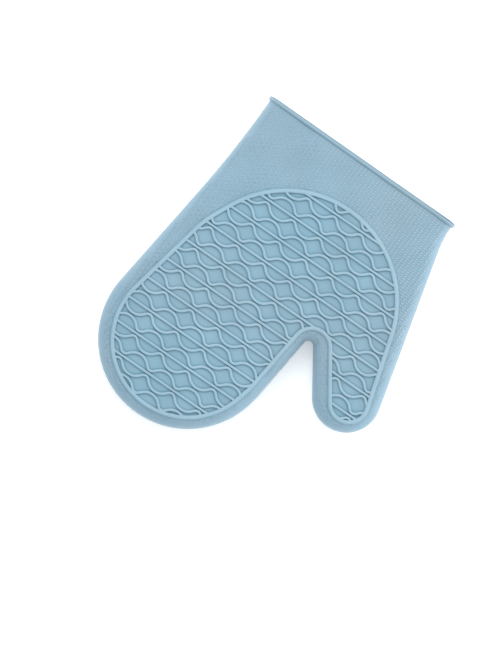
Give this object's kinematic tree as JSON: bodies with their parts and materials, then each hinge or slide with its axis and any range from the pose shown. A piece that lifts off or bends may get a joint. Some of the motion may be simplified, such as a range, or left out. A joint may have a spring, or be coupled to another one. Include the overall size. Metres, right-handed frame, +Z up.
{
  "type": "oven mitt",
  "caption": "Moulded silicone oven mitt with thumb, cuff lip and a raised lens-and-rib grip pattern on both sides, lying flat, open at the cuff.",
  "frame": {"origin": "centre of the bounding box's underside, on the surface that the mitt lies on", "axes": "+X across the hand towards the little finger (thumb at -X), +Y from the mouth to the fingertips, +Z up out of the palm side"},
  "size_m": [0.2389, 0.2795, 0.027],
  "materials": {
    "silicone_field": "satin, with a fine moulded net texture",
    "silicone_grip": "satin",
    "silicone_lip": "satin",
    "silicone_inside": "matt"
  },
  "bodies": {
    "root": {"palm_shell": "silicone_field", "back_shell": "silicone_field", "palm_cuff_lip": "silicone_lip", "back_cuff_lip": "silicone_lip", "palm_grip_rim": "silicone_grip", "back_grip_rim": "silicone_grip", "palm_straight_ribs": "silicone_grip", "back_straight_ribs": "silicone_grip", "palm_wave_ribs": "silicone_grip", "back_wave_ribs": "silicone_grip", "palm_inner_ribs": "silicone_inside", "back_inner_ribs": "silicone_inside"}
  },
  "joints": []
}
